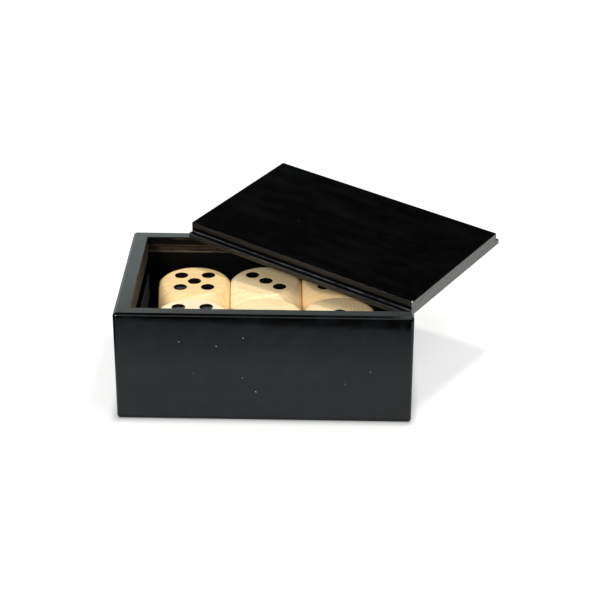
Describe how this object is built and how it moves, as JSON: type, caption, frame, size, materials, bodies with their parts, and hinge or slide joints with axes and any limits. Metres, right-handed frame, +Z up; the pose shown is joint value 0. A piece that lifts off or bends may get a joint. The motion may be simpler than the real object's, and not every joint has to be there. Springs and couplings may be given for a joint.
{
  "type": "dice box",
  "caption": "Small black lacquered wooden box with a sliding lid that runs in grooves, its lid lying askew on top, holding wooden dice in two rows.",
  "frame": {"origin": "centre of the box's underside, on the surface it stands on", "axes": "+X along the box towards its open end, +Y from front to back, +Z up"},
  "size_m": [0.1044, 0.0888, 0.0398],
  "materials": {
    "black_lacquered_wood": "black gloss lacquer, raw brown wood where the lid runs",
    "maple": "smooth waxed pale wood, black painted pips"
  },
  "bodies": {
    "box": {"floor_panel": "black_lacquered_wood", "front_wall": "black_lacquered_wood", "back_wall": "black_lacquered_wood", "left_end_wall": "black_lacquered_wood", "right_end_wall": "black_lacquered_wood"},
    "lid": {"lid": "black_lacquered_wood"},
    "die_back_left": {"die_back_left": "maple"},
    "die_back_middle": {"die_back_middle": "maple"},
    "die_back_right": {"die_back_right": "maple"},
    "die_front_left": {"die_front_left": "maple"},
    "die_front_middle": {"die_front_middle": "maple"},
    "die_front_right": {"die_front_right": "maple"}
  },
  "joints": [
    {"name": "lid_lift", "type": "slide", "parent": "box", "child": "lid", "axis": [0, 0, 1], "range_m": [0, 0.06]},
    {"name": "die_back_left_lift", "type": "slide", "parent": "box", "child": "die_back_left", "axis": [0, 0, 1], "range_m": [0, 0.006]},
    {"name": "die_back_middle_lift", "type": "slide", "parent": "box", "child": "die_back_middle", "axis": [0, 0, 1], "range_m": [0, 0.0048]},
    {"name": "die_back_right_lift", "type": "slide", "parent": "box", "child": "die_back_right", "axis": [0, 0, 1], "range_m": [0, 0.0047]},
    {"name": "die_front_left_lift", "type": "slide", "parent": "box", "child": "die_front_left", "axis": [0, 0, 1], "range_m": [0, 0.028]},
    {"name": "die_front_middle_lift", "type": "slide", "parent": "box", "child": "die_front_middle", "axis": [0, 0, 1], "range_m": [0, 0.012]},
    {"name": "die_front_right_lift", "type": "slide", "parent": "box", "child": "die_front_right", "axis": [0, 0, 1], "range_m": [0, 0.0034]}
  ]
}
